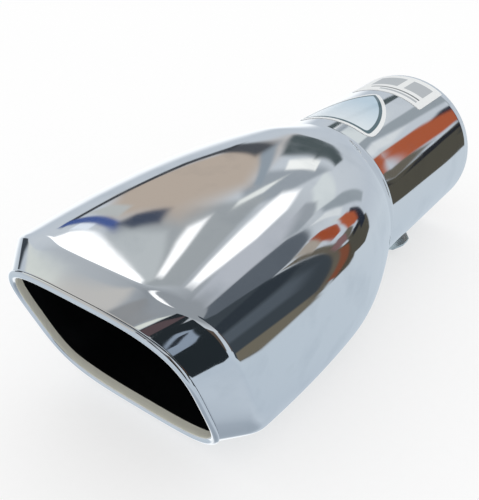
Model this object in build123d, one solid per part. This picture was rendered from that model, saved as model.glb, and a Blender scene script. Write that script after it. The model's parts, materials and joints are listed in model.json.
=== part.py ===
from build123d import *
import os
from math import atan, copysign, cos, pi, radians, sin, tan

# Clamp-on exhaust tip of polished sheet steel. A round inlet neck slides over a tailpipe, a body with
# squared ovals for sections swells from it, and a slanted mouth ends it with a bevelled collar and a
# rolled lip. A set screw in a nut welded to the neck clamps the tip. Two stickers lie on the neck.
# Millimetres. The origin is the centre of the inlet end, +X runs along the neck towards the mouth,
# +Y is to one side and +Z is up.

# Sheet and round inlet neck
SHEET = 1.2
NECK_D = 63.0
NECK_LENGTH = 75.4
ROOT_REACH = 1.0

# Body stations: place along the neck's axis, width, height, fullness (2 is an ellipse, more is
# squarer), lift of the centre, and lean of the top towards the mouth in degrees
SHOULDER_X = 88.4
SHOULDER_WIDTH = 72.6
SHOULDER_HEIGHT = 67.0
SHOULDER_FULLNESS = 2.65
SHOULDER_LIFT = -0.7
SHOULDER_ANGLE = 2.0
WAIST_X = 123.0
WAIST_WIDTH = 84.8
WAIST_HEIGHT = 66.8
WAIST_FULLNESS = 3.3
WAIST_LIFT = 0.0
WAIST_ANGLE = 10.0
COLLAR_X = 175.5
COLLAR_WIDTH = 79.6
COLLAR_HEIGHT = 62.8
COLLAR_FULLNESS = 4.7
COLLAR_LIFT = -0.6
COLLAR_REACH = 1.4

# Slanted mouth, measured on the crest of its lip; its angle is the lean of its top in degrees
MOUTH_X = 186.5
MOUTH_WIDTH = 63.4
MOUTH_HEIGHT = 53.6
MOUTH_FULLNESS = 3.7
MOUTH_LIFT = -2.5
MOUTH_ANGLE = 20.0

# Rolled lip: past a small step the sheet turns in round the mouth and runs a short way back inside
LIP_RADIUS = 1.8
LIP_STEP = 0.3
LIP_RETURN = 2.5

# Clamp: a nut welded low on one side of the neck, at an angle below +Y, and its socket set screw
CLAMP_FROM_ROOT = 38.0
CLAMP_ANGLE = 57.0
CLAMP_HOLE_D = 6.6
NUT_FLATS = 10.0
NUT_HEIGHT = 5.0
NUT_BORE = 6.0
NUT_CHAMFER = 1.0
THREAD_CLEARANCE = 0.05
SCREW_LENGTH = 5.8
SCREW_POINT = 1.0
SCREW_EDGE = 0.4
SCREW_RECESS = 0.2
SOCKET_FLATS = 3.0
SOCKET_DEPTH = 3.0

# Stickers, sized straight across as seen from above each one, at an angle from +Y towards +Z
FILM = 0.15
SEAT_GAP = 0.02
BADGE_FROM_ROOT = 7.9
BADGE_LENGTH = 37.0
BADGE_WIDTH = 31.4
BADGE_BULGE = 4.6
BADGE_CORNER = 4.0
BADGE_POINT = 3.0
BADGE_ANGLE = 91.0
LABEL_FROM_INLET = 2.0
LABEL_LENGTH = 24.0
LABEL_WIDTH = 31.0
LABEL_CORNER = 1.0
LABEL_ANGLE = 88.0

# Fineness: strips in each bay of the body, the bevel, rounded corners and the lip, points on each section
BAY_PARTS = (3, 4, 7)
BEVEL_PARTS = 3
CORNER_PARTS = 3
LIP_PARTS = 6
OVAL_POINTS = 24


def smooth_run(places, values, place):
    """Value at a place, on a smooth curve that never swings past the given values (Steffen's slopes)."""
    gaps = [b - a for a, b in zip(places, places[1:])]
    rises = [(b - a) / gap for a, b, gap in zip(values, values[1:], gaps)]

    def inner_slope(i):
        before, after = rises[i - 1], rises[i]
        middle = (before * gaps[i] + after * gaps[i - 1]) / (gaps[i - 1] + gaps[i])
        size = min(abs(before), abs(after), abs(middle) / 2)
        return size * (copysign(1, before) + copysign(1, after))

    def end_slope(i, neighbour):
        share = gaps[i] / (gaps[i] + gaps[neighbour])
        slope = rises[i] * (1 + share) - rises[neighbour] * share
        if slope * rises[i] <= 0:
            return 0
        return copysign(min(abs(slope), 2 * abs(rises[i])), rises[i])

    slopes = [end_slope(0, 1)] + [inner_slope(i) for i in range(1, len(rises))] + [end_slope(-1, -2)]
    i = sum(place > p for p in places[1:-1])
    t = (place - places[i]) / gaps[i]
    pull = gaps[i] * (slopes[i] * t * (1 - t) ** 2 - slopes[i + 1] * t * t * (1 - t))
    return values[i] + (values[i + 1] - values[i]) * t * t * (3 - 2 * t) + pull


def body_section(x):
    """Place, lift, lean, width, height and fullness of the body between the neck's root and the collar."""
    places = [NECK_LENGTH, SHOULDER_X, WAIST_X, COLLAR_X]
    lifts = [0, SHOULDER_LIFT, WAIST_LIFT, COLLAR_LIFT]
    leans = [0, SHOULDER_ANGLE, WAIST_ANGLE, MOUTH_ANGLE]
    widths = [NECK_D, SHOULDER_WIDTH, WAIST_WIDTH, COLLAR_WIDTH]
    heights = [NECK_D, SHOULDER_HEIGHT, WAIST_HEIGHT, COLLAR_HEIGHT]
    fullnesses = [2, SHOULDER_FULLNESS, WAIST_FULLNESS, COLLAR_FULLNESS]
    return [x] + [smooth_run(places, values, x) for values in (lifts, leans, widths, heights, fullnesses)]


def lip_section(growth, back):
    """Section like the mouth's crest, grown all round and moved back from the crest."""
    slant = radians(MOUTH_ANGLE)
    x, lift = MOUTH_X - back * cos(slant), MOUTH_LIFT + back * sin(slant)
    return [x, lift, MOUTH_ANGLE, MOUTH_WIDTH + 2 * growth, MOUTH_HEIGHT + 2 * growth, MOUTH_FULLNESS]


def inset_section(section, inset, shift=0.0):
    """Section drawn in from the outer skin and moved back along its own axis."""
    x, lift, lean, width, height, fullness = section
    x, lift = x - shift * cos(radians(lean)), lift + shift * sin(radians(lean))
    return [x, lift, lean, width - 2 * inset, height - 2 * inset, fullness]


def between(first, last, share):
    """Section part of the way from one to another."""
    return [a + (b - a) * share for a, b in zip(first, last)]


def rounded_corner(before, corner, after):
    """Sections that round off a corner of the skin."""
    shares = [i / CORNER_PARTS for i in range(CORNER_PARTS + 1)]
    return [between(between(before, corner, t), between(corner, after, t), t) for t in shares]


def station_plane(x, lift, lean):
    """Plane across the tip, its first axis along +Y, its top leaning towards the mouth."""
    angle = radians(lean)
    return Plane(origin=(x, 0, lift), x_dir=(0, 1, 0), z_dir=(cos(angle), 0, -sin(angle)))


def outline(section):
    """Closed squared oval (superellipse) of a section."""
    x, lift, lean, width, height, fullness = section
    plane = station_plane(x, lift, lean)
    turns = [2 * pi * i / OVAL_POINTS for i in range(OVAL_POINTS + 1)]
    points = []
    for turn in turns[:-1]:
        reach = (abs(cos(turn)) ** fullness + abs(sin(turn)) ** fullness) ** (-1 / fullness) / 2
        points.append(plane.from_local_coords(Vector(width * reach * cos(turn), height * reach * sin(turn))))
    return Wire([Edge.make_spline(points, periodic=True, parameters=turns)])


def strips(wires):
    """Faces of the skin between outlines."""
    return Shell.make_loft(wires, True).faces()


def skin(inset, seam):
    """Faces of one side of the sheet from the inlet to its seam with the lip."""
    narrowing = (COLLAR_WIDTH - MOUTH_WIDTH + COLLAR_HEIGHT - MOUTH_HEIGHT) / 4
    shift = inset * tan(atan(narrowing / (MOUTH_X - COLLAR_X)) / 2)
    neck_r, neck_end = NECK_D / 2 - inset, NECK_LENGTH - ROOT_REACH
    start, stop = NECK_LENGTH + ROOT_REACH, COLLAR_X - COLLAR_REACH
    bays = [start, SHOULDER_X, WAIST_X, stop]
    places = [start]
    for a, b, parts in zip(bays, bays[1:], BAY_PARTS):
        places += [a + (b - a) * i / parts for i in range(1, parts + 1)]
    body = [inset_section(body_section(x), inset, shift * (x - start) / (stop - start)) for x in places]
    root = inset_section(body_section(NECK_LENGTH), inset)
    collar = inset_section(body_section(COLLAR_X), inset, shift)
    bevel = between(collar, seam, COLLAR_REACH / (seam[0] - collar[0]))
    sections = rounded_corner([neck_end] + root[1:], root, body[0])[1:] + body[1:]
    sections += rounded_corner(body[-1], collar, bevel)[1:]
    sections += [between(bevel, seam, i / BEVEL_PARTS) for i in range(1, BEVEL_PARTS + 1)]
    neck_rim = Wire([Edge.make_circle(neck_r, station_plane(neck_end, 0, 0))])
    neck = extrude(Plane.YZ * Circle(neck_r), neck_end).faces().filter_by(GeomType.CYLINDER)
    return neck + strips([neck_rim] + [outline(section) for section in sections])


def around_neck(x, turn, radius):
    """Plane facing out from the neck at x, turned from +Y towards +Z, its first axis along +X."""
    out = Vector(0, cos(radians(turn)), sin(radians(turn)))
    return Plane(origin=Vector(x, 0, 0) + out * radius, x_dir=(1, 0, 0), z_dir=out)


def clamp_plane(radius):
    """Plane facing out along the clamp screw."""
    return around_neck(NECK_LENGTH - CLAMP_FROM_ROOT, -CLAMP_ANGLE, radius)


def hexagon(flats):
    """Hexagon measured across its flats."""
    return RegularPolygon(flats / 2, 6, major_radius=False)


def tip_shell():
    """The sheet as one closed skin: outside, round the lip, and back along the inside."""
    hollow = LIP_RADIUS - SHEET
    outer_seam, inner_seam = lip_section(LIP_RADIUS - LIP_STEP, LIP_RADIUS), lip_section(hollow, SHEET)
    turns = [pi * i / LIP_PARTS for i in range(LIP_PARTS + 1)]
    roll = [lip_section(LIP_RADIUS * cos(t), LIP_RADIUS - LIP_RADIUS * sin(t)) for t in turns]
    fold = lip_section(-hollow, SHEET)
    mouth_end = lip_section(-LIP_RADIUS, LIP_RADIUS + LIP_RETURN)
    hidden_end = lip_section(-hollow, LIP_RADIUS + LIP_RETURN)
    inlet = Plane.YZ * (Circle(NECK_D / 2) - Circle(NECK_D / 2 - SHEET))
    faces = skin(0, outer_seam) + skin(SHEET, inner_seam) + inlet.faces()
    faces += strips([outline(section) for section in roll + [mouth_end]])
    faces += strips([outline(fold), outline(hidden_end)])
    for rim, hole in ((roll[0], outer_seam), (inner_seam, fold), (hidden_end, mouth_end)):
        faces.append(Face(outline(rim), [outline(hole)]))
    return Solid(Shell(faces)) - clamp_plane(NECK_D / 2) * Cylinder(CLAMP_HOLE_D / 2, NECK_D / 2)


def weld_nut():
    """Hexagon nut with its foot shaped to the neck."""
    top = clamp_plane(NECK_D / 2 + NUT_HEIGHT)
    nut = extrude(top * hexagon(NUT_FLATS), -2 * NUT_HEIGHT)
    nut = chamfer(nut.faces().sort_by(Axis(top.origin, top.z_dir))[-1].edges(), NUT_CHAMFER)
    neck = extrude(Plane.YZ * Circle(NECK_D / 2 + SEAT_GAP), NECK_LENGTH)
    return nut - neck - top * Cylinder(NUT_BORE / 2, 4 * NUT_HEIGHT)


def clamp_screw():
    """Socket set screw, its point just outside the neck's bore."""
    point = clamp_plane(NECK_D / 2 - SHEET + SCREW_RECESS)
    along = Axis(point.origin, point.z_dir)
    screw = extrude(point * Circle(NUT_BORE / 2 - THREAD_CLEARANCE), SCREW_LENGTH)
    screw = chamfer(screw.faces().sort_by(along)[0].edges(), SCREW_POINT)
    screw = chamfer(screw.faces().sort_by(along)[-1].edges(), SCREW_EDGE)
    return screw - extrude(point.offset(SCREW_LENGTH) * hexagon(SOCKET_FLATS), -SOCKET_DEPTH)


def film(shape, plane):
    """Sticker film on the neck, cut to a shape drawn on a plane through the neck's axis."""
    inside = NECK_D / 2 + SEAT_GAP
    sleeve = extrude(Plane.YZ * (Circle(inside + FILM) - Circle(inside)), NECK_LENGTH)
    return sleeve & extrude(plane * shape, NECK_D)


def badge_sticker():
    """Pointed arch with its straight base towards the body and its point towards the inlet."""
    left, right, point = (0, BADGE_WIDTH / 2), (0, -BADGE_WIDTH / 2), (-BADGE_LENGTH, 0)
    sides = [SagittaArc(left, point, -BADGE_BULGE), SagittaArc(point, right, -BADGE_BULGE)]
    shape = make_face([Line(right, left)] + sides)
    shape = fillet(shape.vertices().sort_by(Axis.X)[1:], BADGE_CORNER)
    shape = fillet(shape.vertices().sort_by(Axis.X)[0], BADGE_POINT)
    return film(shape, around_neck(NECK_LENGTH - BADGE_FROM_ROOT, BADGE_ANGLE, 0))


def label_sticker():
    """Plain rectangular label beside the inlet."""
    shape = RectangleRounded(LABEL_LENGTH, LABEL_WIDTH, LABEL_CORNER)
    return film(shape, around_neck(LABEL_FROM_INLET + LABEL_LENGTH / 2, LABEL_ANGLE, 0))


os.makedirs("parts", exist_ok=True)
export_step(tip_shell(), "parts/tip_shell.step")
export_step(weld_nut(), "parts/weld_nut.step")
export_step(clamp_screw(), "parts/clamp_screw.step")
export_step(badge_sticker(), "parts/badge_sticker.step")
export_step(label_sticker(), "parts/label_sticker.step")
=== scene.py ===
import json
import math

import bmesh
import bpy
from bpy.props import FloatProperty, FloatVectorProperty, IntProperty, PointerProperty
from mathutils import Matrix, Vector


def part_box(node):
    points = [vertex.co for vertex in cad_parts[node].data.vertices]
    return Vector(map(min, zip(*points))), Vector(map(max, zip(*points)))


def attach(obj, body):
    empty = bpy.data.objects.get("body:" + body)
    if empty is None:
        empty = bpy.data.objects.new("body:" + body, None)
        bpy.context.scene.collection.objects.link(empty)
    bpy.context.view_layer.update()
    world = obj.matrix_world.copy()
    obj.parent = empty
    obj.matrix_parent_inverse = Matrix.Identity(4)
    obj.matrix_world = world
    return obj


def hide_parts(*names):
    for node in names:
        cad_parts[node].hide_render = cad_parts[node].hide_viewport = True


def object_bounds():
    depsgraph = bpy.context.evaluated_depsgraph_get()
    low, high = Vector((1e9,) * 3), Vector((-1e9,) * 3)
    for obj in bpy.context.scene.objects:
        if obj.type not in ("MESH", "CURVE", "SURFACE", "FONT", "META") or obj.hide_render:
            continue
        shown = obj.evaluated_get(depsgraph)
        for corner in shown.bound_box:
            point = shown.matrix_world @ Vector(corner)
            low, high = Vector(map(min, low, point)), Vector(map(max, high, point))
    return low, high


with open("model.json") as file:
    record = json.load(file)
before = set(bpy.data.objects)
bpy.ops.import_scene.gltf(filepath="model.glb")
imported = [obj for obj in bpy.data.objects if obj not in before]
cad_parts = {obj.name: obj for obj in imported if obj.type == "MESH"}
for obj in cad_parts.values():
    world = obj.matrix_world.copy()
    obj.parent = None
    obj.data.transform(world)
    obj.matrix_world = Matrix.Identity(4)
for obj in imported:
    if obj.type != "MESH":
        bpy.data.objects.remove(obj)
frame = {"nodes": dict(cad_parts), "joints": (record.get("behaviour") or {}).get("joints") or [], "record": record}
CAD_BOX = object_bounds()

bl_info = {
    "name": "Exhaust tip",
    "version": (1, 0, 0),
    "blender": (4, 5, 0),
    "location": "View3D > Sidebar > Exhaust tip",
    "description": "Polished clamp-on exhaust tip with its clamp screw, stickers and studio",
    "category": "Mesh",
}

MM = 0.001
BORE = frame["record"]["mounts"][0]["dims"]["r_mm"] * MM
SHEET = 1.2 * MM
NECK_D = 2 * (BORE + SHEET)

# Materials of the shell, and the sockets of a Mix node that mixes two colours
# The dull material's near-black tint is painted shade; it lines the inside and the lip's groove
# The satin material's warm beige tint is a painted reflection of the beige room
POLISHED, DULL_PAINTED_SHADE, SATIN_PAINTED_REFLECTION = range(3)
SHARE, FIRST, SECOND, MIXED = 0, 6, 7, 2

# Rows of the shell's skin: places on the neck, bays in the body's three stretches, shares of the bevel and of
# the lip's return, steps round a corner and round the lip, and rows inside the body
NECK_ROWS = [x * MM for x in (0.2, 4, 20, 38, 56, 68)]
BODY_BAYS = (10, 14, 18)
BEVEL_ROWS = (0.35, 0.7, 0.96, 1.0)
RETURN_ROWS = (0.4, 0.9, 1.0)
CORNER_STEPS, LIP_STEPS, INSIDE_ROWS = 6, 14, 20
# Most of the bevel that the collar's rounding may take, and the share of it at which the inside starts
ROUNDED_MOST, INSIDE_FROM = 0.6, 0.6
# Upper corners of the collar: their angle over the level and their spread, in degrees
CORNER_ANGLE, CORNER_SPREAD = 60, 6
# Where the collar's softer rounding and the lip's longer return set in and are full, as sines below the level
SOFT_BELOW, LONG_BELOW = (0.1, 0.55), (0.6, 0.85)

# Distance under which points are one, and the angle past which an edge is sharp, of the sheet and of the rest
MERGE = 0.001 * MM
SHEET_EDGE, SHARP_EDGE = math.radians(50), math.radians(35)

# Cards of the studio as the tip sees them: corners as azimuth and elevation in degrees, anticlockwise, with
# azimuth counted from 90 to 450, then the colour, the brightness and the softness of the edge in degrees.
CARDS = (
    # White sweep behind the tip
    (((206, -70), (262, -70), (262, 4), (206, 4)), "#f4f7fa", 1.0, 14),
    # Charcoal curtain beside the tip, its olive foot, and its greyer upper end that runs back over the tip
    (((138, 36), (147, 33.5), (157, 34.5), (168, 39.5), (173, 44.5), (174, 52), (168, 60), (138, 60)),
     "#596068", 1.0, 1.5),
    (((108, -37), (133, -37), (140, -28), (141.5, 0), (142, 75), (108, 75)), "#3a4147", 1.0, 1.2),
    (((110, -8), (132, -6), (136, 6), (134, 14), (110, 14)), "#4e565e", 1.0, 8),
    (((110, 18), (134, 18), (141, 22), (141, 38), (110, 38)), "#2d343b", 1.0, 5),
    (((120, -37), (134, -37), (141, -27), (139, -22), (120, -28)), "#6a6559", 1.0, 3),
    # Things in front of the curtain: its hem, a beige sheet, an olive case in two parts with a brown edge,
    # its black lid and catch, a pale patch and a rust strap with its tail
    (((138.5, -26), (141, -24), (146, 30), (143, 34)), "#5f5a50", 1.0, 1.0),
    (((144, 22), (149, 24), (155, 31), (153, 33.5), (147, 33)), "#a29a90", 1.0, 1.5),
    (((142, -23), (145, -19), (148, -8), (148, 2), (143, 2)), "#4a453b", 1.0, 1.0),
    (((145, -12.5), (149.5, -13), (154, -13), (158, -8), (160, 4), (156, 8), (146, 5)), "#4c4a42", 1.0, 1.0),
    (((140.5, -20), (142.5, -21), (145, 0), (142.5, 2)), "#774836", 1.0, 1.0),
    (((153.5, 0), (158, 2), (162, 14), (163, 21), (158.5, 19), (155.5, 9)), "#252b36", 1.0, 1.0),
    (((145, 4), (149, 6), (152.5, 9), (152, 13), (147, 12)), "#625e55", 1.0, 1.5),
    (((142, 3), (146, 5), (148.5, 11), (146, 12.5), (142.5, 9)), "#7c5f60", 1.0, 1.0),
    (((148, 2), (155, 4.5), (155, 6.5), (151, 6.8)), "#24262b", 1.0, 1.0),
    (((157, 21), (160, 23), (160.5, 29), (158, 29)), "#c0c6c8", 1.0, 0.8),
    (((146, 16), (150, 17), (155.5, 24), (157, 31), (155, 33.5), (149, 25)), "#96492e", 1.0, 1.0),
    (((151, 13), (154, 9.5), (156.5, 9.5), (160, 16), (161, 22), (158.5, 25), (154.5, 21)),
     "#a3563a", 1.0, 2.0),
    # Pale and grey reflectors beside the softbox
    (((164.5, 13), (169, 14), (176, 28), (177, 36), (172, 35), (167, 27)), "#929aa0", 1.0, 2),
    (((160.5, 25), (166, 26.5), (170, 34), (168, 38)), "#d2d6d8", 1.0, 1.5),
    (((176, 31), (196, 29), (194, 34), (186, 37), (177, 37.5)), "#ced4d5", 1.0, 2),
    (((172, 42), (176, 38), (184, 36.3), (190, 38), (187, 46), (176, 46)), "#949aa0", 1.0, 2),
    (((174, 46), (190, 40), (200, 46), (206, 52), (203, 58), (172, 60)), "#b2b6bd", 1.0, 6),
    # Grey flags beside the softbox, a narrow light in the flags, the softbox over the far side, two more
    # lights and a small one overhead
    (((194, 28.5), (213, 26.5), (217, 31), (216, 36), (206, 35.5)), "#949ba2", 1.0, 2),
    (((210, 34), (220, 33), (234, 34), (236, 37), (233, 46), (221, 51)), "#9ba0a3", 1.0, 2),
    (((228, 36.5), (235, 36), (234, 45), (230.5, 44)), "#b4b9bb", 1.0, 1.5),
    (((199.8, 34.6), (206, 34.6), (211.2, 41.2), (215.5, 47.5), (217.3, 51.5), (211, 54), (205, 51),
      (199, 46.5), (197, 40)), "#ffffff", 1.2, 3),
    (((221.7, 35.3), (225.1, 36.4), (227, 38.4), (230, 43.3), (228.4, 44.4), (225.6, 41)), "#ffffff", 1.1, 1),
    (((240, 30), (247, 27), (247, 43), (237, 47), (233, 43.5), (233.8, 40.5), (236.7, 34.4)),
     "#ffffff", 1.2, 1),
    (((238, 58), (262, 61.5), (295, 73), (295, 78), (262, 66.5), (238, 62)), "#ffffff", 1.1, 1.5),
    # Beige wall over the horizon, with a window and pale gaps beside it
    (((212, 21), (218, 18), (234, 20), (235, 33), (226, 35), (216, 30)), "#b2a599", 1.0, 4),
    (((210.3, 24.3), (209.8, 26.9), (200.2, 29), (201.2, 26.9)), "#f2f3f0", 1.0, 0.6),
    (((208.5, 29), (217, 33.4), (217.8, 35), (212, 32.8)), "#e2e5e2", 1.0, 0.8),
    (((212.7, 21), (214.3, 20.8), (215, 30), (213.5, 30.5)), "#8d97a0", 1.0, 0.8),
    (((231.5, 31), (234.5, 26.5), (238, 23.5), (236, 29), (233.5, 33)), "#b2b5b4", 1.0, 1.0),
    # Dark horizon in five runs, and a blue sheet's edge with a white patch and a navy fold
    (((191, 24.6), (204, 23.8), (204, 26), (193, 27.2)), "#465052", 1.0, 1.0),
    (((203.5, 23.9), (212, 20.6), (212, 22.8), (203.5, 26)), "#465052", 1.0, 1.0),
    (((213, 21), (219, 14.5), (221, 17.5), (215, 23)), "#4a4d52", 1.0, 1.2),
    (((218, 14.8), (226, 16.3), (226, 19), (219, 17.5)), "#3c3f44", 1.0, 1),
    (((225.5, 16.2), (241, 22.5), (241, 25), (225.5, 19)), "#3c3f44", 1.0, 1),
    (((233, 34.6), (240.3, 21.9), (241.7, 23), (234.3, 35.8)), "#43578e", 1.0, 0.8),
    (((236.4, 32.2), (238.6, 28.4), (240, 28.8), (237.6, 33)), "#dfe5ee", 1.0, 0.6),
    (((226.5, 33.6), (231, 33.6), (234, 34.6), (232, 35.8), (228.5, 35.4)), "#3d4658", 1.0, 0.8),
    # Brown end of the dark room, and a brown strip beside the curtain
    (((422, -36), (434, -34), (434, 26), (398, 26), (395, 18)), "#51473f", 1.0, 4),
    (((101, -28), (109, -26), (109, 26), (101, 26)), "#51473f", 1.0, 4),
    # Grey wall, its darker top, a cream line, and the dark room behind the camera with its brown, pale, dark
    # and bright places
    (((279, 18), (345, 26), (345, 54), (281, 54)), "#bab8b5", 1.0, 3),
    (((290, 50), (330, 50), (332, 60), (292, 60)), "#8b8d8f", 1.0, 4),
    (((332, 52), (346, 54), (348, 60), (336, 58)), "#d5d9d2", 1.0, 1.5),
    (((346, 46), (367, 33), (378, 44), (373, 56), (350, 62)), "#22282c", 1.0, 1.5),
    (((363, 36), (382, 15), (403, 26), (384, 50)), "#22282c", 1.0, 1.5),
    (((382, 20), (396, -8), (414, 2), (402, 28)), "#22282c", 1.0, 1.5),
    (((393, -4), (406, -33), (424, -25), (414, 5)), "#22282c", 1.0, 1.5),
    (((403, -28), (413, -45), (434, -47), (434, -40), (422, -22)), "#22282c", 1.0, 1.0),
    (((350, 44), (368, 44), (368, 56), (350, 56)), "#54474a", 1.0, 2),
    (((385, 33), (391, 19), (401, -4), (403.5, 1), (401.5, 11), (392, 29)), "#8591a0", 1.0, 1),
    (((389.8, 26), (394.5, 12.5), (396, 13.5), (391.5, 27)), "#23282f", 1.0, 0.8),
    (((366, 39), (371, 38), (372, 42), (368, 44)), "#f0f2f4", 1.0, 1),
    # Dark flag on the far side, which gives the tip's back its dark band, and a pale sheet above it
    (((266, 0), (275, 0), (275, 18), (266, 18)), "#3a4046", 1.0, 3),
    (((274, 18), (285, 18), (290, 44), (280, 44)), "#d0d4cf", 1.0, 8),
)
# Plain surroundings between the cards, from below to above: elevation in degrees and colour
ROOM = (
    (-90, "#8a949f"), (-70, "#9ca6b1"), (-63, "#b6c0ca"), (-50, "#b1bcc7"), (-42, "#b6c1cb"),
    (-12, "#bfc8d0"), (8, "#b6bec7"), (30, "#c0c6cc"), (48, "#a9aeb3"), (60, "#8d9297"),
)


def linear(hex_colour):
    """Linear red, green and blue of an sRGB hex colour."""
    parts = [int(hex_colour[i:i + 2], 16) / 255 for i in (1, 3, 5)]
    return tuple(c / 12.92 if c <= 0.04045 else ((c + 0.055) / 1.055) ** 2.4 for c in parts)


def length(name, description, default):
    """Property for a size in metres."""
    return FloatProperty(name=name, description=description, default=default, unit="LENGTH", precision=5)


def colour(name, description, default):
    """Property for a colour, given as sRGB hex."""
    return FloatVectorProperty(name=name, description=description, default=linear(default), subtype="COLOR",
                               min=0.0, max=1.0)


class TipShellSettings(bpy.types.PropertyGroup):
    """Sizes of the sheet. Lists of five run over the neck's root, shoulder, waist, collar and mouth."""
    sheet: length("Sheet", "Thickness of the sheet", SHEET)
    neck: length("Neck", "Outside diameter of the inlet neck", NECK_D)
    inlet_edge: length("Inlet edge", "How far the inlet's edge is broken", 0.15 * MM)
    root_reach: length("Root rounding", "How far the hollow at the neck's root reaches each way", 1.0 * MM)
    collar_reach: length("Collar rounding", "How far the collar's rounding reaches each way on top", 0.9 * MM)
    corner_reach: length("Corner rounding", "How far it reaches at the collar's two upper corners", 3.2 * MM)
    under_reach: length("Underside rounding", "How far it reaches below", 3.0 * MM)
    places: FloatVectorProperty(name="Places", description="Distance of each section from the inlet", size=5,
                                unit="LENGTH", default=(0.0754, 0.0884, 0.123, 0.1755, 0.1865))
    widths: FloatVectorProperty(name="Widths", description="Outside width of each section", size=5,
                                unit="LENGTH", default=(NECK_D, 0.0726, 0.0848, 0.0796, 0.0655))
    heights: FloatVectorProperty(name="Heights", description="Outside height of each section", size=5,
                                 unit="LENGTH", default=(NECK_D, 0.067, 0.0668, 0.0628, 0.055))
    lifts: FloatVectorProperty(name="Lifts", size=5, unit="LENGTH",
                               description="Height of each section's centre over the neck's axis",
                               default=(0.0, -0.0007, 0.0, -0.0006, -0.0025))
    leans: FloatVectorProperty(name="Leans", description="Lean of each section's top towards the mouth",
                               size=5, unit="ROTATION",
                               default=tuple(math.radians(angle) for angle in (0, 2, 10, 20, 20)))
    fullnesses: FloatVectorProperty(name="Fullnesses", size=5, default=(2.0, 2.65, 3.3, 4.7, 3.7),
                                    description="Squareness of each section, 2 is an ellipse")
    lip_radius: length("Lip radius", "Radius of the rolled lip", 1.2 * MM)
    lip_groove: length("Lip groove", "Width and depth of the groove between the bevel and the lip", 0.3 * MM)
    lip_return: length("Lip return", "How far the lip runs back inside above and beside", 1.8 * MM)
    lip_under: length("Lip return below", "How far it runs back inside below", 2.2 * MM)
    clamp_hole: length("Clamp hole", "Diameter of the hole for the clamp screw", 6.6 * MM)
    around: IntProperty(name="Points around", description="Points on each section", default=192, min=32)
    steel: colour("Steel", "Polished outside of the sheet", "#e9ebed")
    smudge: colour("Smudge", "Polished steel where it has been touched", "#dfe2e5")
    # Inside: near black as painted shade of the deep mouth and inlet
    inside: colour("Inside", "Unpolished inside of the sheet", "#1b1e22")
    # Satin: its warm beige is a painted reflection of the beige room in the brushed band
    satin_reflection_tint: colour("Satin", "Brushed band that the lip turns back inside", "#eeeddf")


class ClampSettings(bpy.types.PropertyGroup):
    """Sizes and colours of the clamp nut and its screw."""
    pitch: length("Pitch", "Distance from one thread to the next", 1.0 * MM)
    depth: length("Depth", "Depth of the thread", 0.55 * MM)
    edge: length("Nut edge", "Width of the worn edges of the nut", 0.25 * MM)
    zinc: colour("Zinc", "Zinc plating", "#d3dcdd")
    zinc_dull: colour("Dull zinc", "Zinc plating where it has dulled", "#b3bfc1")


class StickerSettings(bpy.types.PropertyGroup):
    """Sizes and colours of the two stickers."""
    film: length("Film", "Thickness of the film", 0.15 * MM)
    seat: length("Seat", "Height of the film over the neck", 0.02 * MM)
    badge_base: length("Badge base", "Distance of the badge's straight end from the inlet", 67.5 * MM)
    badge_length: length("Badge length", "From the straight end to the point", 37.0 * MM)
    badge_width: length("Badge width", "Width of the straight end", 31.4 * MM)
    badge_bulge: length("Badge bulge", "Rise of each bowed side over its chord", 4.6 * MM)
    badge_corner: length("Badge corner", "How far the rounding of the corners reaches", 3.8 * MM)
    badge_point: length("Badge point", "How far the rounding of the point reaches", 2.6 * MM)
    badge_angle: FloatProperty(name="Badge angle", description="Place of the badge around the neck",
                               default=math.radians(91), unit="ROTATION")
    margin: length("Margin", "White border of the badge", 1.5 * MM)
    line: length("Line", "Coloured line inside the white border", 1.3 * MM)
    rounding: length("Rounding", "Rounding of the line's corners", 3.0 * MM)
    label_middle: length("Label middle", "Distance of the label's middle from the inlet", 14.0 * MM)
    label_length: length("Label length", "Length of the label along the neck", 24.0 * MM)
    label_width: length("Label width", "Width of the label across the neck", 31.0 * MM)
    label_corner: length("Label corner", "How far the rounding of the label's corners reaches", 1.0 * MM)
    label_angle: FloatProperty(name="Label angle", description="Place of the label around the neck",
                               default=math.radians(88), unit="ROTATION")
    paper: colour("Paper", "Blank film", "#eceeee")
    field: colour("Field", "Middle of the badge", "#b4cbdb")
    field_pale: colour("Pale field", "Middle of the badge towards its straight end", "#dfe7ec")
    outline: colour("Outline", "Line round the badge", "#2b515c")
    print_grey: colour("Print", "Plain printed panels of the label", "#b4b9bd")
    print_dark: colour("Rule", "Printed rule of the label", "#5a6066")


class StageSettings(bpy.types.PropertyGroup):
    """Camera, floor and light."""
    camera_place: FloatVectorProperty(name="Camera", description="Place of the camera", size=3, unit="LENGTH",
                                      default=(0.2777, 0.1120, 0.1203))
    camera_aim: FloatVectorProperty(name="Aim", description="Point that the camera looks at", size=3,
                                    unit="LENGTH", default=(0.0658, -0.0449, -0.0426))
    lens: FloatProperty(name="Lens", description="Focal length in millimetres", default=47.8)
    floor_size: length("Floor", "Width of the floor", 6.0)
    floor_middle: length("Floor middle", "Distance of the floor's middle from the inlet", 0.1)
    floor_colour: colour("Floor colour", "Paper of the floor", "#fbfbfb")
    floor_lift: FloatProperty(name="Floor lift", default=0.6, min=0.0, max=1.0,
                              description="Share of plain white in the floor that the camera sees")
    brightness: FloatProperty(name="Brightness", default=1.2,
                              description="Brightness of the cards in the metal")


def deselect():
    """Leaves edit mode and lets go of every object."""
    if bpy.context.mode != "OBJECT":
        bpy.ops.object.mode_set(mode="OBJECT")
    bpy.ops.object.select_all(action="DESELECT")


def hold(piece):
    """Selects one piece alone."""
    deselect()
    piece.select_set(True)
    bpy.context.view_layer.objects.active = piece


def open_mesh(piece):
    """Opens one piece alone in edit mode, with all of it selected."""
    hold(piece)
    bpy.ops.object.mode_set(mode="EDIT")
    bpy.ops.mesh.select_all(action="SELECT")


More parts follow.
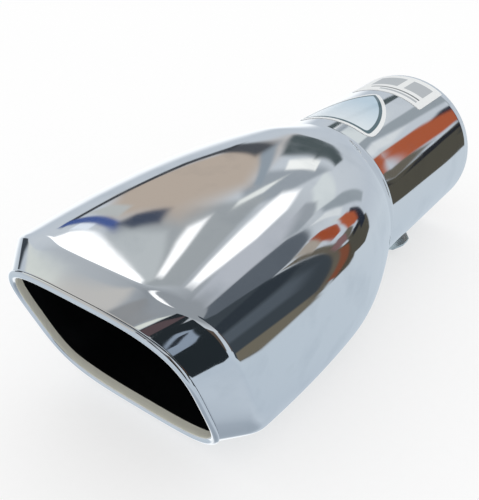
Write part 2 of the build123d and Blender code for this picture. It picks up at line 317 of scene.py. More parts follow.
def apply_modifier(piece, kind, **settings):
    """Adds a modifier to a piece and applies it."""
    modifier = piece.modifiers.new(kind.title(), kind)
    for key, value in settings.items():
        setattr(modifier, key, value)
    bpy.context.view_layer.objects.active = piece
    bpy.ops.object.modifier_apply(modifier=modifier.name)


def add(tree, kind, inputs=(), **settings):
    """New node with its settings, its values and its links."""
    node = tree.nodes.new("ShaderNode" + kind)
    for key, value in settings.items():
        setattr(node, key, value)
    for socket, value in dict(inputs).items():
        if isinstance(value, bpy.types.NodeSocket):
            tree.links.new(value, node.inputs[socket])
        else:
            node.inputs[socket].default_value = value
    return node


def new_material(name):
    """Empty node material, its tree and its Object coordinates."""
    material = bpy.data.materials.new(name)
    material.use_nodes = True
    tree = material.node_tree
    tree.nodes.clear()
    return material, tree, add(tree, "TexCoord").outputs["Object"]


def polished_steel(tip):
    """Stainless sheet, drawn and mirror polished: a bright cool mirror that bends what it shows a little
    where the sheet isn't quite flat, with faint hairlines round the tip from the polishing wheel and a few
    smudges."""
    material, tree, place = new_material("polished_stainless_steel")
    # Size of the sheet's waves and of the smudges, and a hairline's width and length, wide enough to show
    wave, touch, hair, hair_run = 26 * MM, 14 * MM, 0.35 * MM, 24 * MM
    waves = add(tree, "TexNoise", {"Vector": place, "Scale": 1 / wave, "Detail": 1.0})
    touched = add(tree, "TexNoise", {"Vector": place, "Scale": 1 / touch, "Detail": 3.0})
    wheel = add(tree, "Mapping", {"Vector": place, "Scale": (1 / hair, 1 / hair_run, 1 / hair_run)})
    hairlines = add(tree, "TexNoise", {"Vector": wheel.outputs[0], "Scale": 1.0, "Detail": 2.0})
    smudge = add(tree, "MapRange", {"Value": touched.outputs["Fac"], "From Min": 0.5, "From Max": 0.72})
    tint = add(tree, "Mix", {SHARE: smudge.outputs[0], FIRST: (*tip.steel, 1),
                             SECOND: (*tip.smudge, 1)}, data_type="RGBA")
    # Roughness of the clean mirror, and what a smudge and a hairline add to it
    clean, smudged, scored = 0.03, 0.035, 0.03
    haze = add(tree, "Math", {0: smudge.outputs[0], 1: smudged, 2: clean}, operation="MULTIPLY_ADD")
    rough = add(tree, "Math", {0: hairlines.outputs["Fac"], 1: scored, 2: haze.outputs[0]},
                operation="MULTIPLY_ADD")
    bend = add(tree, "Bump", {"Height": waves.outputs["Fac"], "Strength": 1.0, "Distance": 0.03 * MM})
    shader = add(tree, "BsdfPrincipled", {"Base Color": tint.outputs[MIXED], "Metallic": 1.0,
                                         "Roughness": rough.outputs[0], "Normal": bend.outputs[0]})
    add(tree, "OutputMaterial", {"Surface": shader.outputs["BSDF"]})
    return material


def dull_steel_painted_shade(tip):
    """Inside of the sheet as it left the press: dull and mottled, near black as painted shade of the deep mouth.
    """
    material, tree, place = new_material("unpolished_steel_painted_shade")
    blotch, shade = 7 * MM, [c * 0.4 for c in tip.inside]
    mottle = add(tree, "TexNoise", {"Vector": place, "Scale": 1 / blotch, "Detail": 4.0})
    # The near-black tint is painted shade of the deep mouth; its darker blotches vary at random
    tint = add(tree, "Mix", {SHARE: mottle.outputs["Fac"], FIRST: (*tip.inside, 1),
                             SECOND: (*shade, 1)}, data_type="RGBA")
    rough = add(tree, "MapRange", {"Value": mottle.outputs["Fac"], "To Min": 0.5, "To Max": 0.75})
    shader = add(tree, "BsdfPrincipled", {"Base Color": tint.outputs[MIXED], "Metallic": 0.7,
                                         "Roughness": rough.outputs[0]})
    add(tree, "OutputMaterial", {"Surface": shader.outputs["BSDF"]})
    return material


def satin_painted_reflection(tip):
    """Band inside the lip, brushed round the mouth: half dull, with fine streaks along the brushing, and a warm
    beige tint that is a painted reflection of the beige room."""
    material, tree, place = new_material("satin_stainless_steel_painted_reflection")
    # Width and length of a streak, wide enough to show
    streak, streak_run, shade = 0.3 * MM, 12 * MM, [c * 0.8 for c in tip.satin_reflection_tint]
    brush = add(tree, "Mapping", {"Vector": place, "Scale": (1 / streak, 1 / streak_run, 1 / streak_run)})
    streaks = add(tree, "TexNoise", {"Vector": brush.outputs[0], "Scale": 1.0, "Detail": 3.0})
    # The tint's warm beige is a painted reflection of the beige room; the streaks are real brushing
    tint = add(tree, "Mix", {SHARE: streaks.outputs["Fac"], FIRST: (*tip.satin_reflection_tint, 1),
                             SECOND: (*shade, 1)}, data_type="RGBA")
    rough = add(tree, "MapRange", {"Value": streaks.outputs["Fac"], "To Min": 0.3, "To Max": 0.5})
    shader = add(tree, "BsdfPrincipled", {"Base Color": tint.outputs[MIXED], "Metallic": 0.15,
                                         "Roughness": rough.outputs[0]})
    add(tree, "OutputMaterial", {"Surface": shader.outputs["BSDF"]})
    return material


def zinc_plate(clamp):
    """Steel with bright zinc plating: a cool blue-grey metal, half dull, with a fine mottle and soft
    lights."""
    material, tree, place = new_material("zinc_plated_steel")
    grain = 1.2 * MM
    mottle = add(tree, "TexNoise", {"Vector": place, "Scale": 1 / grain, "Detail": 4.0})
    tint = add(tree, "Mix", {SHARE: mottle.outputs["Fac"], FIRST: (*clamp.zinc, 1),
                             SECOND: (*clamp.zinc_dull, 1)}, data_type="RGBA")
    rough = add(tree, "MapRange", {"Value": mottle.outputs["Fac"], "To Min": 0.18, "To Max": 0.36})
    tooth = add(tree, "Bump", {"Height": mottle.outputs["Fac"], "Strength": 0.1, "Distance": 0.02 * MM})
    shader = add(tree, "BsdfPrincipled", {"Base Color": tint.outputs[MIXED], "Metallic": 0.85,
                                         "Roughness": rough.outputs[0], "Normal": tooth.outputs[0]})
    add(tree, "OutputMaterial", {"Surface": shader.outputs["BSDF"]})
    return material


def flat_place(tree, place, middle, angle):
    """Place on a sticker as if it lay flat: along the neck from its middle, and across."""
    turn = {"Vector": place, "Location": (middle, 0, 0), "Rotation": (angle - math.pi / 2, 0, 0)}
    return add(tree, "Mapping", turn, vector_type="TEXTURE").outputs[0]


def past(tree, value, edge):
    """One where a distance is past an edge, with a printed edge's slight softness."""
    soft = 0.08 * MM
    sharp = {"Value": value, "From Min": edge - soft, "From Max": edge + soft}
    return add(tree, "MapRange", sharp).outputs[0]


def bow(start, stop, bulge):
    """Arc that bulges to the right of its run: its centre, its radius and the way from its centre to its
    middle."""
    chord = stop - start
    radius = chord.length ** 2 / (8 * bulge) + bulge / 2
    out = Vector((chord.y, -chord.x)).normalized()
    return (start + stop) / 2 + out * (bulge - radius), radius, out


def badge_film(stickers):
    """Printed gloss film: a pale field that fades towards the straight end, a dark line and a white border,
    under a clear coat that mirrors the lights softly."""
    material, tree, place = new_material("printed_gloss_film")
    corner, point = Vector((0, stickers.badge_width / 2)), Vector((-stickers.badge_length, 0))
    centre, radius, _ = bow(corner, point, stickers.badge_bulge)
    flat = add(tree, "SeparateXYZ", {0: flat_place(tree, place, stickers.badge_base, stickers.badge_angle)})
    # Distance from the nearer bowed side, with one half folded onto the other, and from the straight end
    across = add(tree, "Math", {0: flat.outputs["Y"]}, operation="ABSOLUTE")
    folded = add(tree, "CombineXYZ", {0: flat.outputs["X"], 1: across.outputs[0]})
    reach = add(tree, "VectorMath", {0: folded.outputs[0], 1: (*centre, 0)}, operation="DISTANCE")
    from_side = add(tree, "Math", {0: radius, 1: reach.outputs["Value"]}, operation="SUBTRACT")
    from_base = add(tree, "Math", {0: flat.outputs["X"], 1: -1.0}, operation="MULTIPLY")
    inside = add(tree, "Math", {0: from_side.outputs[0], 1: from_base.outputs[0],
                                2: stickers.rounding}, operation="SMOOTH_MIN")
    in_line = past(tree, inside.outputs[0], stickers.margin)
    in_field = past(tree, inside.outputs[0], stickers.margin + stickers.line)
    # Distance from the straight end at which the field has its full colour
    full = 0.7 * stickers.badge_length
    fade = add(tree, "MapRange", {"Value": from_base.outputs[0], "From Max": full})
    field = add(tree, "Mix", {SHARE: fade.outputs[0], FIRST: (*stickers.field_pale, 1),
                              SECOND: (*stickers.field, 1)}, data_type="RGBA")
    border = add(tree, "Mix", {SHARE: in_line, FIRST: (*stickers.paper, 1),
                               SECOND: (*stickers.outline, 1)}, data_type="RGBA")
    printed = add(tree, "Mix", {SHARE: in_field, FIRST: border.outputs[MIXED],
                                SECOND: field.outputs[MIXED]}, data_type="RGBA")
    shader = add(tree, "BsdfPrincipled", {"Base Color": printed.outputs[MIXED], "Roughness": 0.3,
                                         "Coat Weight": 0.6, "Coat Roughness": 0.06})
    add(tree, "OutputMaterial", {"Surface": shader.outputs["BSDF"]})
    return material


def label_film(stickers):
    """Printed matt film: white, with plain grey panels and one thin dark rule."""
    material, tree, place = new_material("printed_matt_film")
    flat = flat_place(tree, place, stickers.label_middle, stickers.label_angle)
    printed = (*stickers.paper, 1)
    # Middle and half size of each panel, along the neck and across it, in millimetres
    panels = (((-3, -5.5), (5.5, 6), stickers.print_grey), ((-3, 8), (5.5, 4.5), stickers.print_grey),
              ((6, 1.5), (0.5, 11), stickers.print_dark), ((8.6, 4), (0.8, 8.5), stickers.print_grey))
    for (x, y), (half_x, half_y), tint in panels:
        middle, half = (x * MM, y * MM, 0), (half_x * MM, half_y * MM, 0)
        away = add(tree, "VectorMath", {0: flat, 1: middle}, operation="SUBTRACT")
        size = add(tree, "VectorMath", {0: away.outputs[0]}, operation="ABSOLUTE")
        over = add(tree, "VectorMath", {0: half, 1: size.outputs[0]}, operation="SUBTRACT")
        split = add(tree, "SeparateXYZ", {0: over.outputs[0]})
        least = add(tree, "Math", {0: split.outputs["X"], 1: split.outputs["Y"]}, operation="MINIMUM")
        in_panel = past(tree, least.outputs[0], 0.0)
        printed = add(tree, "Mix", {SHARE: in_panel, FIRST: printed, SECOND: (*tint, 1)},
                      data_type="RGBA").outputs[MIXED]
    shader = add(tree, "BsdfPrincipled", {"Base Color": printed, "Roughness": 0.45})
    add(tree, "OutputMaterial", {"Surface": shader.outputs["BSDF"]})
    return material


def paper_floor(stage):
    """White paper: plain, with a very slight tooth, and only the tip's shadow on it."""
    material, tree, place = new_material("white_paper")
    grain = 3 * MM
    tooth = add(tree, "TexNoise", {"Vector": place, "Scale": 1 / grain, "Detail": 2.0})
    tint = add(tree, "Mix", {SHARE: tooth.outputs["Fac"], FIRST: (*stage.floor_colour, 1),
                             SECOND: (1, 1, 1, 1)}, data_type="RGBA")
    paper = add(tree, "BsdfDiffuse", {"Color": tint.outputs[MIXED]})
    white = add(tree, "Emission", {"Strength": 1.0})
    seen = add(tree, "LightPath").outputs["Is Camera Ray"]
    lift = add(tree, "Math", {0: seen, 1: stage.floor_lift}, operation="MULTIPLY")
    shader = add(tree, "MixShader", {0: lift.outputs[0], 1: paper.outputs[0], 2: white.outputs[0]})
    add(tree, "OutputMaterial", {"Surface": shader.outputs[0]})
    return material


def eased(share):
    """Share from 0 to 1 that starts and stops gently."""
    return share * share * (3 - 2 * share)


def smooth_run(places, values, place):
    """Value at a place, on a smooth curve through the given values that never swings past them."""
    gaps = [b - a for a, b in zip(places, places[1:])]
    rises = [(b - a) / gap for a, b, gap in zip(values, values[1:], gaps)]

    def inner_slope(i):
        before, after = rises[i - 1], rises[i]
        middle = (before * gaps[i] + after * gaps[i - 1]) / (gaps[i - 1] + gaps[i])
        size = min(abs(before), abs(after), abs(middle) / 2)
        return size * (math.copysign(1, before) + math.copysign(1, after))

    def end_slope(i, neighbour):
        share = gaps[i] / (gaps[i] + gaps[neighbour])
        slope = rises[i] * (1 + share) - rises[neighbour] * share
        if slope * rises[i] <= 0:
            return 0
        return math.copysign(min(abs(slope), 2 * abs(rises[i])), rises[i])

    slopes = [end_slope(0, 1)] + [inner_slope(i) for i in range(1, len(rises))] + [end_slope(-1, -2)]
    i = sum(place > p for p in places[1:-1])
    t = (place - places[i]) / gaps[i]
    pull = gaps[i] * (slopes[i] * t * (1 - t) ** 2 - slopes[i + 1] * t * t * (1 - t))
    return values[i] + (values[i + 1] - values[i]) * eased(t) + pull


def body_section(tip, x):
    """Place, lift, lean, width, height and fullness of the body between the root and the collar."""
    runs = (tip.lifts, tip.leans, tip.widths, tip.heights, tip.fullnesses)
    return [x] + [smooth_run(tip.places[:4], run[:4], x) for run in runs]


def lip_section(tip, growth, back):
    """Section like the mouth's crest, grown all round and moved back from the crest."""
    slant = tip.leans[4]
    x, lift = tip.places[4] - back * math.cos(slant), tip.lifts[4] + back * math.sin(slant)
    return [x, lift, slant, tip.widths[4] + 2 * growth, tip.heights[4] + 2 * growth, tip.fullnesses[4]]


def between(first, last, share):
    """Section part of the way from one to another."""
    return [a + (b - a) * share for a, b in zip(first, last)]


def rounded_corner(before, corner, after):
    """Sections that round off a corner of the skin."""
    shares = [i / CORNER_STEPS for i in range(CORNER_STEPS + 1)]
    return [between(between(before, corner, t), between(corner, after, t), t) for t in shares]


def below(turn, start, full):
    """How much of the underside a turn round the tip has: none until it starts, and all where it is full."""
    return eased(min(max((-start - math.sin(turn)) / (full - start), 0), 1))


def collar_rounding(tip, turn):
    """How far the collar's rounding reaches: crisp on top and beside, softer at the upper corners and
    below."""
    angle = math.degrees(math.atan2(math.sin(turn), abs(math.cos(turn))))
    corner = math.exp(-((angle - CORNER_ANGLE) / CORNER_SPREAD) ** 2)
    upper = tip.collar_reach + (tip.corner_reach - tip.collar_reach) * corner
    return upper + (tip.under_reach - upper) * below(turn, *SOFT_BELOW)


def on_section(section, turn):
    """Point of a section's squared oval at a turn round the tip."""
    x, lift, lean, width, height, fullness = section
    c, s = math.cos(turn), math.sin(turn)
    reach = (abs(c) ** fullness + abs(s) ** fullness) ** (-1 / fullness) / 2
    up = height * reach * s
    return Vector((x + up * math.sin(lean), width * reach * c, lift + up * math.cos(lean)))


def skin_runs(tip, turn):
    """Sections of the skin at one turn round the tip, as runs that each have one material: the outside from
    the inlet to the groove, the groove beside the lip, the rolled lip, its return, the inside and the inlet's
    edge."""
    r, groove, reach = tip.lip_radius, tip.lip_groove, collar_rounding(tip, turn)
    root, shoulder, waist = tip.places[:3]
    collar = body_section(tip, tip.places[3])
    start, stop = root + tip.root_reach, collar[0] - reach
    # Neck with its inlet's edge slightly broken, and the hollow at its root
    round_neck = [0.0, 0.0, tip.neck, tip.neck, 2.0]
    broken = tip.neck - 2 * tip.inlet_edge
    inlet = [0.0, 0.0, 0.0, broken, broken, 2.0]
    outside = [inlet] + [[x, *round_neck] for x in NECK_ROWS]
    outside += rounded_corner([root - tip.root_reach, *round_neck], [root, *round_neck],
                              body_section(tip, start))
    # Body
    ends = (start, shoulder, waist, stop)
    for first, last, bays in zip(ends, ends[1:], BODY_BAYS):
        outside += [body_section(tip, first + (last - first) * i / bays) for i in range(1, bays + 1)]
    # Collar and bevel
    seam = lip_section(tip, r - groove, r + groove)
    share = min(reach / (seam[0] - collar[0]), ROUNDED_MOST)
    outside += rounded_corner(outside.pop(), collar, between(collar, seam, share))
    outside += [between(collar, seam, share + (1 - share) * row) for row in BEVEL_ROWS]
    # Rolled lip and its return
    angles = [math.pi * i / LIP_STEPS for i in range(LIP_STEPS + 1)]
    roll = [lip_section(tip, r * math.cos(angle), r - r * math.sin(angle)) for angle in angles]
    back = tip.lip_return + (tip.lip_under - tip.lip_return) * below(turn, *LONG_BELOW)
    fold = roll[-2:] + [lip_section(tip, -r, r + back * row) for row in RETURN_ROWS]
    # Inside, a sheet's thickness within the outside
    depth = start - collar[0]
    inside = [between(collar, seam, INSIDE_FROM), collar]
    inside += [body_section(tip, collar[0] + depth * i / INSIDE_ROWS) for i in range(1, INSIDE_ROWS + 1)]
    inside += [[x, *round_neck] for x in (root, NECK_ROWS[3], 0.0)]
    inside = [[*place, width - 2 * tip.sheet, height - 2 * tip.sheet, fullness]
              for *place, width, height, fullness in inside]
    return (
        (POLISHED, outside),
        # The groove takes the dull material: its near-black band is painted shade in the crease between the bevel
        # and the lip
        (DULL_PAINTED_SHADE, [lip_section(tip, r - 2 * groove, r)]),
        (POLISHED, roll[:-2]),
        (SATIN_PAINTED_REFLECTION, fold),
        # The inside takes the dull material, near black as painted shade
        (DULL_PAINTED_SHADE, inside),
        (POLISHED, [inlet]),
    )


def place_ring(piece, paths, row):
    """Moves the selected ring onto a row of the paths, each vertex on its own path."""
    bm = bmesh.from_edit_mesh(piece.data)
    path = bm.verts.layers.int["path"]
    for vert in bm.verts:
        if vert.select:
            vert.co = paths[vert[path]][row][1]
    bmesh.update_edit_mesh(piece.data)


def clamp_matrix():
    """Frame of the clamp screw: its origin on the neck's axis, +Z out along the screw, +X along the neck."""
    low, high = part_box("clamp_screw")
    along, out = Vector((1, 0, 0)), -Vector(frame["joints"][0]["axis"]).normalized()
    turn = Matrix((along, out.cross(along), out)).transposed()
    return Matrix.Translation(((low[0] + high[0]) / 2, 0, 0)) @ turn.to_4x4()


class TIP_OT_shell(bpy.types.Operator):
    """Draw the sheet's skin ring by ring, outside and inside, and drill it for the clamp screw"""
    bl_idname = "tip.shell"
    bl_label = "Tip shell"

    def execute(self, context):
        tip = context.scene.tip_shell
        # One path of materials and points for each turn round the tip
        paths = []
        for turn in [math.tau * i / tip.around for i in range(tip.around)]:
            runs = skin_runs(tip, turn)
            paths.append([(look, on_section(section, turn)) for look, run in runs for section in run])
        deselect()
        bpy.ops.mesh.primitive_circle_add(vertices=tip.around, radius=tip.neck / 2, enter_editmode=True)
        piece = context.object
        piece.name = piece.data.name = "polished_tip_shell"
        bm = bmesh.from_edit_mesh(piece.data)
        path = bm.verts.layers.int.new("path")
        for i, vert in enumerate(bm.verts):
            vert[path] = i
        place_ring(piece, paths, 0)
        for row in range(1, len(paths[0])):
            bpy.ops.mesh.extrude_edges_move()
            place_ring(piece, paths, row)
        bm = bmesh.from_edit_mesh(piece.data)
        for i, face in enumerate(bm.faces):
            face.material_index = paths[0][i // tip.around + 1][0]
        bmesh.update_edit_mesh(piece.data)
        bpy.ops.mesh.select_all(action="SELECT")
        bpy.ops.mesh.remove_doubles(threshold=MERGE)
        bpy.ops.mesh.normals_make_consistent(inside=False)
        hold(piece)
        for material in (polished_steel(tip), dull_steel_painted_shade(tip), satin_painted_reflection(tip)):
            piece.data.materials.append(material)
        self.drill(piece, tip)
        bpy.ops.object.shade_smooth_by_angle(angle=SHEET_EDGE)
        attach(piece, "tip")
        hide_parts("tip_shell")
        return {"FINISHED"}

    def drill(self, piece, tip):
        """Cuts the hole for the clamp screw through the neck."""
        deselect()
        bpy.ops.mesh.primitive_cylinder_add(vertices=48, radius=tip.clamp_hole / 2, depth=tip.neck / 4,
                                            location=(0, 0, tip.neck / 2))
        drill = bpy.context.object
        drill.data.transform(clamp_matrix() @ drill.matrix_basis)
        drill.matrix_basis = Matrix()
        hold(piece)
        apply_modifier(piece, "BOOLEAN", operation="DIFFERENCE", object=drill, solver="EXACT")
        bpy.data.objects.remove(drill)


def merged_copy(node, name):
    """Copy of a CAD node with its loose triangles merged, ready to be worked on."""
    piece = bpy.data.objects.new(name, frame["nodes"][node].data.copy())
    piece.data.name = name
    piece.data.materials.clear()
    bpy.context.scene.collection.objects.link(piece)
    open_mesh(piece)
    bpy.ops.mesh.remove_doubles(threshold=MERGE)
    bpy.ops.mesh.dissolve_limited(angle_limit=math.radians(0.5))
    bpy.ops.object.mode_set(mode="OBJECT")
    return piece


def threaded_rod(clamp, radius, rod_length):
    """Rod with a thread on it, along +Z from the origin, cut square at both ends."""
    mesh = bpy.data.meshes.new("zinc_clamp_screw")
    crest, foot = radius, radius - clamp.depth
    # Corners of one thread: radius, and height in pitches
    profile = ((crest, -0.06), (crest, 0.06), (foot, 0.44), (foot, 0.56), (crest, 0.94))
    points = [(r, 0, height * clamp.pitch) for r, height in profile]
    mesh.from_pydata(points, [(i, i + 1) for i in range(len(points) - 1)], [])
    rod = bpy.data.objects.new("zinc_clamp_screw", mesh)
    bpy.context.scene.collection.objects.link(rod)
    hold(rod)
    # Three turns more than the rod needs, so that both cuts go through whole threads
    turns, start = math.ceil(rod_length / clamp.pitch) + 3, 1.5 * clamp.pitch
    apply_modifier(rod, "SCREW", screw_offset=clamp.pitch, iterations=turns, steps=32, render_steps=32)
    open_mesh(rod)
    bpy.ops.mesh.remove_doubles(threshold=10 * MERGE)
    for height, outward in ((start, -1), (start + rod_length, 1)):
        bpy.ops.mesh.select_all(action="SELECT")
        bpy.ops.mesh.bisect(plane_co=(0, 0, height), plane_no=(0, 0, outward), use_fill=True,
                            clear_outer=True, threshold=MERGE / 10)
    bpy.ops.mesh.select_all(action="SELECT")
    bpy.ops.transform.translate(value=(0, 0, -start))
    bpy.ops.mesh.normals_make_consistent(inside=False)
    bpy.ops.object.mode_set(mode="OBJECT")
    return rod


class TIP_OT_clamp(bpy.types.Operator):
    """Cut the thread on the set screw and soften the nut's edges"""
    bl_idname = "tip.clamp"
    bl_label = "Clamp screw and nut"

    def execute(self, context):
        clamp = context.scene.tip_clamp
        zinc = zinc_plate(clamp)
        nut = merged_copy("weld_nut", "zinc_weld_nut")
        apply_modifier(nut, "BEVEL", width=clamp.edge, segments=2, limit_method="ANGLE",
                       angle_limit=math.radians(25))
        bpy.ops.object.shade_smooth_by_angle(angle=SHARP_EDGE)
        screw = self.cut_thread(clamp)
        for piece, node, body in ((nut, "weld_nut", "tip"), (screw, "clamp_screw", "screw")):
            piece.data.materials.clear()
            piece.data.materials.append(zinc)
            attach(piece, body)
            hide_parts(node)
        return {"FINISHED"}

    def cut_thread(self, clamp):
        """Set screw: what a threaded rod, longer at both ends, and the CAD node have in common."""
        blank, place, spare = merged_copy("clamp_screw", "screw_blank"), clamp_matrix(), 1 * MM
        seen = [place.inverted() @ vert.co for vert in blank.data.vertices]
        start, stop = min(co.z for co in seen), max(co.z for co in seen)
        screw = threaded_rod(clamp, max(co.xy.length for co in seen), stop - start + 2 * spare)
        screw.data.transform(place @ Matrix.Translation((0, 0, start - spare)))
        apply_modifier(screw, "BOOLEAN", operation="INTERSECT", object=blank, solver="EXACT")
        open_mesh(screw)
        bpy.ops.mesh.remove_doubles(threshold=3 * MERGE)
        bpy.ops.mesh.dissolve_degenerate(threshold=3 * MERGE)
        bpy.ops.object.mode_set(mode="OBJECT")
        bpy.ops.object.shade_smooth_by_angle(angle=SHARP_EDGE)
        bpy.data.objects.remove(blank)
        return screw


class TIP_OT_stickers(bpy.types.Operator):
    """Cut the badge and the label flat, round their corners and lay them on the neck"""
    bl_idname = "tip.stickers"
    bl_label = "Stickers"

    def execute(self, context):
        stickers = context.scene.tip_stickers
        side, half, bulge = stickers.badge_length, stickers.badge_width / 2, stickers.badge_bulge
        corner, point, other = Vector((0, half)), Vector((-side, 0)), Vector((0, -half))
        # Points along a bowed side: its corner, then even steps that leave room for the rounding of both ends
        room, steps = 0.12, 14
        shares = [0.0] + [room + (1 - 2 * room) * i / steps for i in range(steps + 1)]
        upper = [self.bowed(corner, point, bulge, share) for share in shares]
        lower = [self.bowed(point, other, bulge, share) for share in shares]
        outline = upper + lower + [other]
        rounds = {0: stickers.badge_corner, len(upper): stickers.badge_point,
                  len(outline) - 1: stickers.badge_corner}
        self.lay("printed_badge", "badge_sticker", "badge_film", badge_film(stickers), outline, rounds,
                 stickers.badge_base, stickers.badge_angle)
        x, y = stickers.label_length / 2, stickers.label_width / 2
        outline = [(x, -y), (x, y), (-x, y), (-x, -y)]
        self.lay("printed_label", "label_sticker", "label_film", label_film(stickers), outline,
                 {i: stickers.label_corner for i in range(4)}, stickers.label_middle, stickers.label_angle)
        return {"FINISHED"}

    def bowed(self, start, stop, bulge, share):
        """Point part of the way along an arc that bulges to the right of its run."""
        centre, radius, out = bow(start, stop, bulge)
        chord = stop - start
        turn = 2 * math.asin(chord.length / 2 / radius) * (share - 0.5)
        return centre + out * radius * math.cos(turn) + chord.normalized() * radius * math.sin(turn)

    def cut(self, name, outline, rounds):
        """Cuts a flat sticker, rounds its corners, slits it into strips and leaves it open in edit mode."""
        mesh = bpy.data.meshes.new(name)
        mesh.from_pydata([(*point, 0) for point in outline], [], [range(len(outline))])
        piece = bpy.data.objects.new(name, mesh)
        bpy.context.scene.collection.objects.link(piece)
        open_mesh(piece)
        for i, reach in rounds.items():
            bpy.ops.mesh.select_mode(type="VERT")
            bpy.ops.mesh.select_all(action="DESELECT")
            bm = bmesh.from_edit_mesh(mesh)
            corner = Vector((*outline[i], 0))
            min(bm.verts, key=lambda vert: (vert.co - corner).length).select_set(True)
            bmesh.update_edit_mesh(mesh)
            bpy.ops.mesh.bevel(offset=reach, segments=6, affect="VERTICES")
        width, strips = max(abs(point[1]) for point in outline), 13
        for i in range(1 - strips, strips):
            bpy.ops.mesh.select_all(action="SELECT")
            bpy.ops.mesh.bisect(plane_co=(0, width * i / strips, 0), plane_no=(0, 1, 0))
        return piece

    def lay(self, name, node, slot, film, outline, rounds, middle, angle):
        """Makes a sticker from its flat outline and wraps it on the neck."""
        stickers, neck = bpy.context.scene.tip_stickers, bpy.context.scene.tip_shell.neck
        piece = self.cut(name, outline, rounds)
        bm = bmesh.from_edit_mesh(piece.data)
        radius = neck / 2 + stickers.seat
        for vert in bm.verts:
            turn = angle - math.asin(vert.co.y / radius)
            vert.co = (middle + vert.co.x, radius * math.cos(turn), radius * math.sin(turn))
        bmesh.update_edit_mesh(piece.data)
        bpy.ops.object.mode_set(mode="OBJECT")
        piece.data.materials.append(film)
        apply_modifier(piece, "SOLIDIFY", thickness=stickers.film, offset=1.0)
        bpy.ops.object.shade_smooth_by_angle(angle=SHARP_EDGE)
        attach(piece, "tip")
        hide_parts(node)


def card_place(tree):
    """Direction of a ray among the cards, as azimuth, elevation and one, and its elevation, in degrees."""
    # Azimuth of -Y, which is the middle of the count from 90 to 450
    middle, radian = 270.0, math.degrees(1)
    towards = add(tree, "SeparateXYZ", {0: add(tree, "TexCoord").outputs["Generated"]})
    back = add(tree, "Math", {0: towards.outputs["Y"], 1: -1.0}, operation="MULTIPLY")
    turn = add(tree, "Math", {0: towards.outputs["X"], 1: back.outputs[0]}, operation="ARCTAN2")
    azimuth = add(tree, "Math", {0: turn.outputs[0], 1: radian, 2: middle}, operation="MULTIPLY_ADD")
    tilt = add(tree, "Math", {0: towards.outputs["Z"]}, operation="ARCSINE")
    elevation = add(tree, "Math", {0: tilt.outputs[0], 1: radian}, operation="MULTIPLY")
    seen = add(tree, "CombineXYZ", {0: azimuth.outputs[0], 1: elevation.outputs[0], 2: 1.0})
    return seen.outputs[0], elevation.outputs[0]


def room_colour(tree, elevation):
    """Colour of the plain surroundings at an elevation."""
    share = add(tree, "MapRange", {"Value": elevation, "From Min": -90.0, "From Max": 90.0})
    room = add(tree, "ValToRGB", {0: share.outputs[0]})
    stops = room.color_ramp.elements
    # A new ramp has two stops, which take the two ends
    for i, (degrees, tint) in enumerate((ROOM[0], ROOM[-1], *ROOM[1:-1])):
        height = (degrees + 90) / 180
        stop = stops[i] if i < 2 else stops.new(height)
        stop.position, stop.color = height, (*linear(tint), 1)
    return room.outputs[0]


def card_cover(tree, seen, corners, soft):
    """One on a card and none beside it, from the least distance inside its edges, with a soft step."""
    reach = None
    for (x, y), (next_x, next_y) in zip(corners, corners[1:] + corners[:1]):
        run, rise = next_x - x, next_y - y
        span = math.hypot(run, rise)
        edge = (-rise / span, run / span, (rise * x - run * y) / span)
        inside = add(tree, "VectorMath", {0: seen, 1: edge}, operation="DOT_PRODUCT").outputs["Value"]
        if reach is not None:
            inside = add(tree, "Math", {0: reach, 1: inside}, operation="MINIMUM").outputs[0]
        reach = inside
    step = {"Value": reach, "From Min": -soft / 2, "From Max": soft / 2}
    return add(tree, "MapRange", step, interpolation_type="SMOOTHSTEP").outputs[0]


def studio(stage):
    """World that is plain white light, and that shows the cards round the tip in its metal."""
    world = bpy.data.worlds.new("studio")
    world.use_nodes = True
    tree = world.node_tree
    tree.nodes.clear()
    seen, elevation = card_place(tree)
    shown = room_colour(tree, elevation)
    for corners, tint, bright, soft in CARDS:
        paint = (*[c * bright for c in linear(tint)], 1)
        shown = add(tree, "Mix", {SHARE: card_cover(tree, seen, corners, soft), FIRST: shown,
                                  SECOND: paint}, data_type="RGBA").outputs[MIXED]
    in_metal = add(tree, "LightPath").outputs["Is Glossy Ray"]
    cards = add(tree, "Background", {"Color": shown, "Strength": stage.brightness})
    plain = add(tree, "Background", {"Color": (1, 1, 1, 1), "Strength": 1.0})
    light = add(tree, "MixShader", {0: in_metal, 1: plain.outputs[0], 2: cards.outputs[0]})
    add(tree, "OutputWorld", {"Surface": light.outputs[0]})
    return world


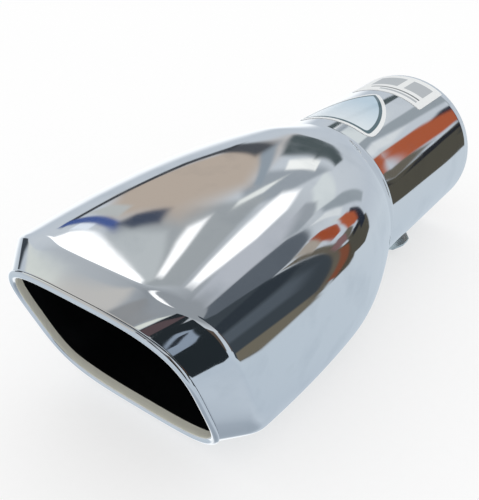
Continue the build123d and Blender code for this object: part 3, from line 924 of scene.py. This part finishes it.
class TIP_OT_stage(bpy.types.Operator):
    """Set the floor, the studio around it and the camera"""
    bl_idname = "tip.stage"
    bl_label = "Stage"

    def execute(self, context):
        stage, scene = context.scene.tip_stage, context.scene
        scene.view_settings.view_transform = "Standard"
        deselect()
        bpy.ops.mesh.primitive_plane_add(size=stage.floor_size,
                                         location=(stage.floor_middle, 0, CAD_BOX[0].z))
        floor = context.object
        floor.name = "floor"
        floor.data.materials.append(paper_floor(stage))
        floor.visible_glossy = False
        camera = bpy.data.objects.new("camera", bpy.data.cameras.new("camera"))
        scene.collection.objects.link(camera)
        place, aim = Vector(stage.camera_place), Vector(stage.camera_aim)
        camera.location = place
        camera.rotation_mode = "QUATERNION"
        camera.rotation_quaternion = (aim - place).to_track_quat("-Z", "Y")
        camera.data.lens = stage.lens
        camera.data.clip_start = 10 * MM
        scene.camera = camera
        scene.world = studio(stage)
        return {"FINISHED"}


class TIP_PT_panel(bpy.types.Panel):
    """Lists the steps in the order in which they run"""
    bl_idname = "TIP_PT_panel"
    bl_label = "Exhaust tip"
    bl_space_type = "VIEW_3D"
    bl_region_type = "UI"
    bl_category = "Exhaust tip"

    def draw(self, context):
        for operator in (TIP_OT_shell, TIP_OT_clamp, TIP_OT_stickers, TIP_OT_stage):
            self.layout.operator(operator.bl_idname)


CLASSES = (TipShellSettings, ClampSettings, StickerSettings, StageSettings, TIP_OT_shell, TIP_OT_clamp,
           TIP_OT_stickers, TIP_OT_stage, TIP_PT_panel)
SETTINGS = {"tip_shell": TipShellSettings, "tip_clamp": ClampSettings, "tip_stickers": StickerSettings,
            "tip_stage": StageSettings}


def register():
    for cls in CLASSES:
        bpy.utils.register_class(cls)
    for name, settings in SETTINGS.items():
        setattr(bpy.types.Scene, name, PointerProperty(type=settings))


def unregister():
    for name in SETTINGS:
        delattr(bpy.types.Scene, name)
    for cls in reversed(CLASSES):
        bpy.utils.unregister_class(cls)


def main():
    register()
    bpy.ops.tip.shell()
    bpy.ops.tip.clamp()
    bpy.ops.tip.stickers()
    bpy.ops.tip.stage()


if __name__ == "__main__":
    main()
